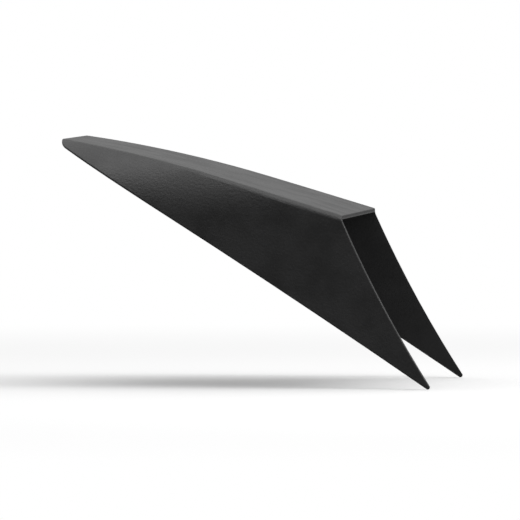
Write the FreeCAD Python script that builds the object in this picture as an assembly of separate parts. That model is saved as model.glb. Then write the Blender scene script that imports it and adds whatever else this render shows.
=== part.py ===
import FreeCAD, Part
import math
import os

# Rear mudguard extender, moulded in one piece. A tunnel with soft shoulders is cut from above by a
# crown that falls towards the front. The crease between crown and side is soft at the tail, where
# the crown grazes the shoulder, and sharp at the front, where it meets the upright side wall.
# +X is forward, +Y is left and +Z is up. The origin is the middle of the bonding land, the flat face
# under the front of the crown. Lengths are in millimetres and angles in degrees.

# Wall
wall = 3.0
lap_wall = 1.4             # thinner wall along the front edge, which leaves room for the bond
lap_length = 22.0          # depth of the thinner wall, along the crown

# Crown line, from its front edge back to the tail
crown_slope = 17.0         # fall of the straight part
crown_straight = 42.5      # length of the straight part
crown_bend_length = 68.9   # length of the bent part
crown_bend_radius = 495.0

# Front, lower and tail edges, seen from the side
corner_reach = 34.8        # lower front corner, forward of the crown's front edge
corner_drop = 66.2         # lower front corner, below the crown's front edge
corner_radius = 0.8
front_edge_bow = 1.5       # hollow of the front edge, behind its chord
front_turn_radius = 3.0    # turn of the front edge from square on the crown into that hollow
lower_edge_bow = 1.0       # rise of the lower edge, above its chord
tail_lip = 2.2             # thickness left at the end of the tail
tail_lip_radius = 4.0      # rounding under it

# Tunnel section, seen from the front
half_width = 62.5          # centre to the outside of the side wall, at the crown's front edge
plan_taper = 2.5           # each side narrows by this angle towards the tail
tunnel_rise = 1.0          # top of the tunnel above the tail
shoulder_radius = 29.5     # turn from the top of the tunnel down to the side wall
wall_draft = 2.0           # lean of the side wall from upright

# Edges
crease_radius = 2.5
inner_crease_radius = 1.0
rim_radius = 0.5


# Points and directions in the side view

def side_point(x, z):
    return FreeCAD.Vector(x, 0, z)


def heading(angle):
    return side_point(math.cos(angle), math.sin(angle))


slope = math.radians(crown_slope)
along = heading(-slope)                  # down the straight crown, to the front
outward = heading(math.pi / 2 - slope)   # square out of it
crown_front = along * (lap_length / 2) + outward * lap_wall
bend_start = crown_front - along * crown_straight
bend_centre = bend_start - outward * crown_bend_radius
tail_slope = slope - crown_bend_length / crown_bend_radius
tail_outward = heading(math.pi / 2 - tail_slope)
tail_top = bend_centre + tail_outward * crown_bend_radius
tail_under = tail_top - tail_outward * tail_lip
corner = crown_front + side_point(corner_reach, -corner_drop)

overrun = crown_straight / 2             # shapes that only cut run this far past the part
near = wall / 1000                       # points this close count as touching
rear_end = tail_top.x - overrun
front_end = corner.x + overrun
floor_level = corner.z - overrun
side_end = half_width + overrun


# Drawing

def line(start, end):
    return Part.LineSegment(start, end).toShape()


def arc(start, middle, end):
    return Part.Arc(start, middle, end).toShape()


def bowed(start, end, bow):
    chord = end - start
    square = side_point(-chord.z, chord.x).normalize()
    return arc(start, start + chord / 2 + square * bow, end)


def left_prism(edges):
    return Part.Face(Part.Wire(edges)).extrude(FreeCAD.Vector(0, side_end, 0))


# Picking edges and faces by where they lie in the side view

def samples(edge):
    first, last = edge.ParameterRange
    return [edge.valueAt(first), edge.valueAt((first + last) / 2), edge.valueAt(last)]


def on_line(point, wire):
    return wire.distToShape(Part.Vertex(side_point(point.x, point.z)))[0] < near


def off_centre(edge):
    return abs(samples(edge)[1].y) > wall


def crease_edges(shape, wire):
    edges = [edge for edge in shape.Edges if off_centre(edge)]
    return [edge for edge in edges if all(on_line(point, wire) for point in samples(edge))]


def corner_edges(shape, spot):
    def at_spot(point):
        return side_point(point.x, point.z).distanceToPoint(spot) < near
    return [edge for edge in shape.Edges if all(at_spot(point) for point in samples(edge))]


def on_outline(face, wire):
    first, last, low, high = face.ParameterRange
    points = [vertex.Point for vertex in face.Vertexes]
    points.append(face.valueAt((first + last) / 2, (low + high) / 2))
    return all(on_line(point, wire) for point in points)


def rim_edges(shape, wire):
    edges = [edge for face in shape.Faces if on_outline(face, wire) for edge in face.Edges]
    single = [edge for edge in edges if sum(edge.isSame(other) for other in edges) == 1]
    return [edge for edge in single if off_centre(edge)]


# Left half of the form as a full block, inset from the outside

def section_point(y, z):
    return FreeCAD.Vector(rear_end - overrun, y, z)


def crown_edges(inset):
    front = crown_front + along * ((front_end - crown_front.x) / along.x) - outward * inset
    start = bend_start - outward * inset
    radius = crown_bend_radius - inset
    end_slope = tail_slope - overrun / crown_bend_radius
    middle = bend_centre + heading(math.pi / 2 - (slope + end_slope) / 2) * radius
    end = bend_centre + heading(math.pi / 2 - end_slope) * radius
    return [line(front, start), arc(start, middle, end)]


def under_crown(inset):
    edges = crown_edges(inset)
    front = edges[0].Vertexes[0].Point
    rear = edges[1].Vertexes[1].Point
    rear_floor = side_point(rear.x, floor_level)
    front_floor = side_point(front.x, floor_level)
    edges += [line(rear, rear_floor), line(rear_floor, front_floor), line(front_floor, front)]
    return left_prism(edges)


def tunnel(inset):
    turn = math.radians(90 - wall_draft)
    outside = half_width * math.cos(math.radians(plan_taper))
    shoulder_y = outside - shoulder_radius * math.sin(turn)
    shoulder_z = tail_top.z + tunnel_rise - shoulder_radius

    def on_shoulder(angle):
        radius = shoulder_radius - inset
        return section_point(shoulder_y + radius * math.sin(angle), shoulder_z + radius * math.cos(angle))

    top = on_shoulder(0)
    wall_top = on_shoulder(turn)
    spread = (wall_top.z - floor_level) * math.tan(math.radians(wall_draft))
    foot = section_point(wall_top.y + spread, floor_level)
    inner_foot = section_point(-overrun, floor_level)
    inner_top = section_point(-overrun, top.z)
    edges = [line(inner_top, top), arc(top, on_shoulder(turn / 2), wall_top)]
    edges += [line(wall_top, foot), line(foot, inner_foot), line(inner_foot, inner_top)]
    solid = Part.Face(Part.Wire(edges)).extrude(side_point(front_end - rear_end + 2 * overrun, 0))
    solid.rotate(side_point(crown_front.x, 0), FreeCAD.Vector(0, 0, 1), plan_taper)
    return solid


def half_block(inset, radius):
    block = tunnel(inset).common(under_crown(inset))
    return block.makeFillet(radius, crease_edges(block, Part.Wire(crown_edges(inset))))


# Outline of the part and zone of the front lap

def front_edges(strip):
    top = crown_front + outward * overrun
    foot = crown_front - outward * strip
    return [line(top, foot), bowed(foot, corner, -front_edge_bow)]


def outline():
    edges = front_edges(lap_wall)
    front_top = edges[0].Vertexes[0].Point
    foot = edges[0].Vertexes[1].Point
    tail_high = tail_top + tail_outward * overrun
    edges.append(bowed(corner, tail_under, -lower_edge_bow))
    edges += [line(tail_under, tail_high), line(tail_high, front_top)]
    solid = left_prism(edges)
    for spot, radius in ((foot, front_turn_radius), (corner, corner_radius), (tail_under, tail_lip_radius)):
        solid = solid.makeFillet(radius, corner_edges(solid, spot))
    return solid


def lap_zone():
    edges = front_edges(2 * wall)            # the step stays square to the land past the wall
    top = edges[0].Vertexes[0].Point
    low = corner + (corner - crown_front).normalize() * overrun
    far_low = side_point(front_end + lap_length, low.z)
    far_top = side_point(front_end + lap_length, top.z)
    edges += [line(corner, low), line(low, far_low), line(far_low, far_top), line(far_top, top)]
    zone = left_prism(edges)
    zone.translate(-along * lap_length)
    return zone


# Shell: left half with rounded rims, hollowed and thinned at the lap, then its mirror image

def left_half():
    solid = outline()
    wire = min(solid.Faces, key=lambda face: face.CenterOfMass.y).OuterWire
    rim = min(rim_radius, lap_wall / 2)
    hollow = half_block(wall, inner_crease_radius)
    half = half_block(0, crease_radius).common(solid)
    half = half.makeFillet(rim, rim_edges(half, wire)).cut(hollow)
    inner_rims = [edge for edge in rim_edges(half, wire)
                  if hollow.distToShape(Part.Vertex(samples(edge)[1]))[0] < near]
    half = half.makeFillet(rim, inner_rims)
    return half.cut(half_block(lap_wall, inner_crease_radius).common(lap_zone()))


left = left_half()
right = left.mirror(FreeCAD.Vector(0, 0, 0), FreeCAD.Vector(0, 1, 0))
shell = left.fuse(right).removeSplitter()

os.makedirs("parts", exist_ok=True)
shell.exportStep("parts/mudguard_extender.step")
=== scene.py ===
import bpy
import bmesh
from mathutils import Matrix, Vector


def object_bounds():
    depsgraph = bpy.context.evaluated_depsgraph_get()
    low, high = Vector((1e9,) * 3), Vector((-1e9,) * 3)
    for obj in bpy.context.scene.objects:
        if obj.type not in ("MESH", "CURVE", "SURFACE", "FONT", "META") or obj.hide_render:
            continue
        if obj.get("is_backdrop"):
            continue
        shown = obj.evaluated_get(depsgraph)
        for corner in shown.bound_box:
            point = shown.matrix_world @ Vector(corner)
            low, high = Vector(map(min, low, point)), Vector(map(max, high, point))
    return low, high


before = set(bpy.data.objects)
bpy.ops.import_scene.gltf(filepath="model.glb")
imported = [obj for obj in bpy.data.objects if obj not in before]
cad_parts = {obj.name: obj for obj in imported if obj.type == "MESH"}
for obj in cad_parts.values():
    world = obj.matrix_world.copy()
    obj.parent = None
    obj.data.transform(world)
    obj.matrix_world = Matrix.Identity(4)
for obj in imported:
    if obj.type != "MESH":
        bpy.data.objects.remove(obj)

cadLow, cadHigh = (Vector(corner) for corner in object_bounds())
scene = bpy.context.scene
scene.view_settings.view_transform = "Standard"
print("frame loaded:", ", ".join(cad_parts))


# small helpers for node trees

def addNode(tree, kind, **settings):
    node = tree.nodes.new(kind)
    for name, value in settings.items():
        setattr(node, name, value)
    return node


def setInputs(node, values):
    for name, value in values.items():
        node.inputs[name].default_value = value


def noiseAt(tree, coords, size, detail, roughness):
    node = addNode(tree, "ShaderNodeTexNoise")
    setInputs(node, {"Scale": 1.0 / size, "Detail": detail, "Roughness": roughness})
    tree.links.new(coords, node.inputs["Vector"])
    return node.outputs["Fac"]


def spread(tree, value, low, high, toLow, toHigh):
    node = addNode(tree, "ShaderNodeMapRange", interpolation_type="SMOOTHSTEP")
    setInputs(node, {"From Min": low, "From Max": high, "To Min": toLow, "To Max": toHigh})
    tree.links.new(value, node.inputs["Value"])
    return node.outputs["Result"]


def combine(tree, operation, a, b):
    node = addNode(tree, "ShaderNodeMath", operation=operation)
    for socket, value in zip(node.inputs, (a, b)):
        if isinstance(value, (int, float)):
            socket.default_value = value
        else:
            tree.links.new(value, socket)
    return node.outputs["Value"]


def mixColours(tree, factor, first, second):
    node = addNode(tree, "ShaderNodeMix", data_type="RGBA")
    for socket, colour in ((node.inputs["A"], first), (node.inputs["B"], second)):
        if isinstance(colour, tuple):
            socket.default_value = (*colour, 1.0)
        else:
            tree.links.new(colour, socket)
    tree.links.new(factor, node.inputs["Factor"])
    return node.outputs["Result"]


# the shell: black ABS, grained on the outside, plainer on the moulded inside, polished along its rims
# and lighter there, partly as wear and partly as a painted highlight

shellLook = {
    "black": (0.0105, 0.0105, 0.0108),
    "greyBlack": (0.0165, 0.0165, 0.0169),   # where the grain holds a little haze
    "rimWearAndHighlight": (0.036, 0.036, 0.0366),      # lighter along the rims: partly wear where hands rub, partly a painted highlight on the edges
    "ior": 1.57,
    "roughOutside": (0.42, 0.54),
    "roughInside": (0.40, 0.45),
    "rimPolish": 0.16,         # roughness that the rims lose
    "rimWidth": 0.0010,        # metres, as every size here
    "rimBody": (0.45, 0.90),   # share of the wall behind the surface, from a full rim to none
    "hazeSize": 0.020,
    "hazeDetail": (4.0, 0.6),  # finer steps of the noise and how strong they are, here and below
    "hazeRange": (0.36, 0.64),
    "grainSize": 0.0010,
    "grainDetail": (2.0, 0.55),
    "grainDepth": 0.00013,
    "poreSize": 0.0003,
    "poreDetail": (1.0, 0.5),
    "poreShare": 0.4,          # depth of the pores beside the grain
    "innerGrain": 0.35,        # share of the grain left on the inside
    "waveSize": 0.035,         # faint unevenness of a cooled wall
    "waveDetail": (1.0, 0.5),
    "waveDepth": 0.000015,
    "tunnelAxis": -0.020,      # height of the line that the inside faces
    "insideBlend": 0.001,
}


def outsideMask(tree, look, coords, normal):
    # 1 on the outside, 0 on the faces that look towards the tunnel's axis
    place = addNode(tree, "ShaderNodeSeparateXYZ")
    facing = addNode(tree, "ShaderNodeSeparateXYZ")
    tree.links.new(coords, place.inputs["Vector"])
    tree.links.new(normal, facing.inputs["Vector"])
    height = combine(tree, "SUBTRACT", place.outputs["Z"], look["tunnelAxis"])
    across = combine(tree, "MULTIPLY", place.outputs["Y"], facing.outputs["Y"])
    upward = combine(tree, "MULTIPLY", height, facing.outputs["Z"])
    blend = look["insideBlend"]
    return spread(tree, combine(tree, "ADD", across, upward), -blend, blend, 0.0, 1.0)


def rimMask(tree, look):
    # 1 along the rims and creases, where little of the wall lies behind the surface
    behind = addNode(tree, "ShaderNodeAmbientOcclusion", inside=True, only_local=True)
    behind.inputs["Distance"].default_value = look["rimWidth"]
    return spread(tree, behind.outputs["AO"], *look["rimBody"], 1.0, 0.0)


def bump(tree, height, depth, under=None):
    node = addNode(tree, "ShaderNodeBump")
    node.inputs["Distance"].default_value = depth
    tree.links.new(height, node.inputs["Height"])
    if under:
        tree.links.new(under, node.inputs["Normal"])
    return node.outputs["Normal"]


def shellMaterial(look):
    material = bpy.data.materials.new("grained black ABS")
    material.use_nodes = True
    tree = material.node_tree
    shader = tree.nodes["Principled BSDF"]
    coords = addNode(tree, "ShaderNodeTexCoord").outputs["Object"]
    normal = addNode(tree, "ShaderNodeNewGeometry").outputs["True Normal"]
    outside = outsideMask(tree, look, coords, normal)
    rim = rimMask(tree, look)

    haze = noiseAt(tree, coords, look["hazeSize"], *look["hazeDetail"])
    grain = noiseAt(tree, coords, look["grainSize"], *look["grainDetail"])
    pores = noiseAt(tree, coords, look["poreSize"], *look["poreDetail"])
    wave = noiseAt(tree, coords, look["waveSize"], *look["waveDetail"])

    cloud = spread(tree, haze, *look["hazeRange"], 0.0, 1.0)
    tint = mixColours(tree, cloud, look["black"], look["greyBlack"])
    # along the rims the colour turns lighter: partly wear, partly a painted highlight on the edges
    tree.links.new(mixColours(tree, rim, tint, look["rimWearAndHighlight"]), shader.inputs["Base Color"])

    outer = spread(tree, haze, *look["hazeRange"], *look["roughOutside"])
    inner = spread(tree, haze, *look["hazeRange"], *look["roughInside"])
    step = combine(tree, "MULTIPLY", combine(tree, "SUBTRACT", outer, inner), outside)
    polish = combine(tree, "MULTIPLY", rim, look["rimPolish"])
    rough = combine(tree, "SUBTRACT", combine(tree, "ADD", inner, step), polish)
    tree.links.new(rough, shader.inputs["Roughness"])
    shader.inputs["IOR"].default_value = look["ior"]

    share = spread(tree, outside, 0.0, 1.0, look["innerGrain"], 1.0)
    relief = combine(tree, "ADD", grain, combine(tree, "MULTIPLY", pores, look["poreShare"]))
    broad = bump(tree, wave, look["waveDepth"])
    fine = bump(tree, combine(tree, "MULTIPLY", relief, share), look["grainDepth"], broad)
    tree.links.new(fine, shader.inputs["Normal"])
    return material


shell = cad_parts["mudguard_extender"]
shell.data.materials.clear()
shell.data.materials.append(shellMaterial(shellLook))
print("shell dressed:", len(shell.data.polygons), "faces")


# floor, a wide pale disc just under the lower corners, white where it runs out of the light

floorLook = {
    "radius": 12.0,
    "segments": 96,
    "clearUnder": 0.0002,
    "pale": (0.84, 0.84, 0.84),
    "dimmed": (0.22, 0.22, 0.22),   # what it sends back up on to the part
    "rough": 0.9,
    "shine": 0.0,
    "fade": (0.25, 0.75),           # from the part's own shade to plain white
}


def mixShaders(tree, factor, first, second):
    node = addNode(tree, "ShaderNodeMixShader")
    tree.links.new(factor, node.inputs["Fac"])
    tree.links.new(first, node.inputs[1])
    tree.links.new(second, node.inputs[2])
    return node.outputs["Shader"]


def floorMaterial(look):
    material = bpy.data.materials.new("pale floor")
    material.use_nodes = True
    tree = material.node_tree
    shader = tree.nodes["Principled BSDF"]
    setInputs(shader, {"Roughness": look["rough"], "Specular IOR Level": look["shine"]})
    seen = addNode(tree, "ShaderNodeLightPath").outputs["Is Camera Ray"]
    tree.links.new(mixColours(tree, seen, look["dimmed"], look["pale"]), shader.inputs["Base Color"])

    # white further out, and clear from beneath so that the inside can be looked at
    white = addNode(tree, "ShaderNodeEmission").outputs["Emission"]
    clear = addNode(tree, "ShaderNodeBsdfTransparent").outputs["BSDF"]
    coords = addNode(tree, "ShaderNodeTexCoord").outputs["Object"]
    reach = addNode(tree, "ShaderNodeVectorMath", operation="LENGTH")
    tree.links.new(coords, reach.inputs[0])
    away = spread(tree, reach.outputs["Value"], *look["fade"], 0.0, 1.0)
    beneath = addNode(tree, "ShaderNodeNewGeometry").outputs["Backfacing"]
    top = mixShaders(tree, combine(tree, "MULTIPLY", away, seen), shader.outputs["BSDF"], white)
    both = mixShaders(tree, combine(tree, "MULTIPLY", beneath, seen), top, clear)
    tree.links.new(both, tree.nodes["Material Output"].inputs["Surface"])
    return material


def makeFloor(look):
    mesh = bpy.data.meshes.new("floor")
    disc = bmesh.new()
    bmesh.ops.create_circle(disc, cap_ends=True, radius=look["radius"], segments=look["segments"])
    disc.to_mesh(mesh)
    disc.free()
    mesh.materials.append(floorMaterial(look))
    floor = bpy.data.objects.new("floor", mesh)
    floor.location.z = cadLow.z - look["clearUnder"]
    scene.collection.objects.link(floor)
    floor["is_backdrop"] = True


makeFloor(floorLook)
print("floor laid")


# light: a white room for the camera, bright above and behind the part and dim in front of it

roomLight = {
    "colour": (1.0, 1.0, 1.0, 1.0),
    "towards": (0.0, 0.17, 0.9854),   # where the room is brightest
    "dim": 0.04,
    "bright": 1.14,
    "turn": (-0.06, 0.90),            # cosines to that direction, from dim to bright
    "shown": 1.0,                     # what the camera sees of it
}
softboxes = {
    "overhead": {"place": (-0.10, -0.26, 0.93), "size": (0.9, 0.6), "power": 2.4},
    "front edge": {"place": (0.85, -0.12, 0.48), "size": (0.4, 0.6), "power": 3.0},
}


def lightRoom(look):
    world = bpy.data.worlds.new("studio")
    world.use_nodes = True
    tree = world.node_tree
    tree.nodes.clear()
    direction = addNode(tree, "ShaderNodeTexCoord").outputs["Generated"]
    aim = addNode(tree, "ShaderNodeVectorMath", operation="DOT_PRODUCT")
    aim.inputs[1].default_value = Vector(look["towards"]).normalized()
    tree.links.new(direction, aim.inputs[0])
    level = spread(tree, aim.outputs["Value"], *look["turn"], look["dim"], look["bright"])
    room = addNode(tree, "ShaderNodeBackground")
    tree.links.new(level, room.inputs["Strength"])
    white = addNode(tree, "ShaderNodeBackground")
    setInputs(room, {"Color": look["colour"]})
    setInputs(white, {"Color": look["colour"], "Strength": look["shown"]})
    path = addNode(tree, "ShaderNodeLightPath")
    seen = combine(tree, "MAXIMUM", path.outputs["Is Camera Ray"], path.outputs["Is Transmission Ray"])
    both = mixShaders(tree, seen, room.outputs["Background"], white.outputs["Background"])
    tree.links.new(both, addNode(tree, "ShaderNodeOutputWorld").inputs["Surface"])
    scene.world = world


def hangSoftbox(name, look, target):
    lamp = bpy.data.lights.new(name, "AREA")
    lamp.shape = "RECTANGLE"
    lamp.size, lamp.size_y = look["size"]
    lamp.energy = look["power"]
    box = bpy.data.objects.new(name, lamp)
    box.location = look["place"]
    box.rotation_euler = (target - box.location).to_track_quat("-Z", "Y").to_euler()
    box.visible_camera = False
    scene.collection.objects.link(box)


middle = (cadLow + cadHigh) / 2
lightRoom(roomLight)
for softboxName, softboxLook in softboxes.items():
    hangSoftbox(softboxName, softboxLook, middle)
print("room lit with", len(softboxes), "softboxes")


# camera, far off and level as in the photograph, framed on the part

cameraView = {
    "place": (0.515, -5.0, 0.112),
    "frameWidth": 0.195,
    "sensor": 36.0,
    "clipEnd": 100.0,
}


def placeCamera(look, target):
    data = bpy.data.cameras.new("camera")
    camera = bpy.data.objects.new("camera", data)
    camera.location = look["place"]
    sight = target - camera.location
    camera.rotation_euler = sight.to_track_quat("-Z", "Y").to_euler()
    data.sensor_width = look["sensor"]
    data.lens = look["sensor"] * sight.length / look["frameWidth"]
    data.clip_end = look["clipEnd"]
    scene.collection.objects.link(camera)
    scene.camera = camera


placeCamera(cameraView, middle)
print("camera set")
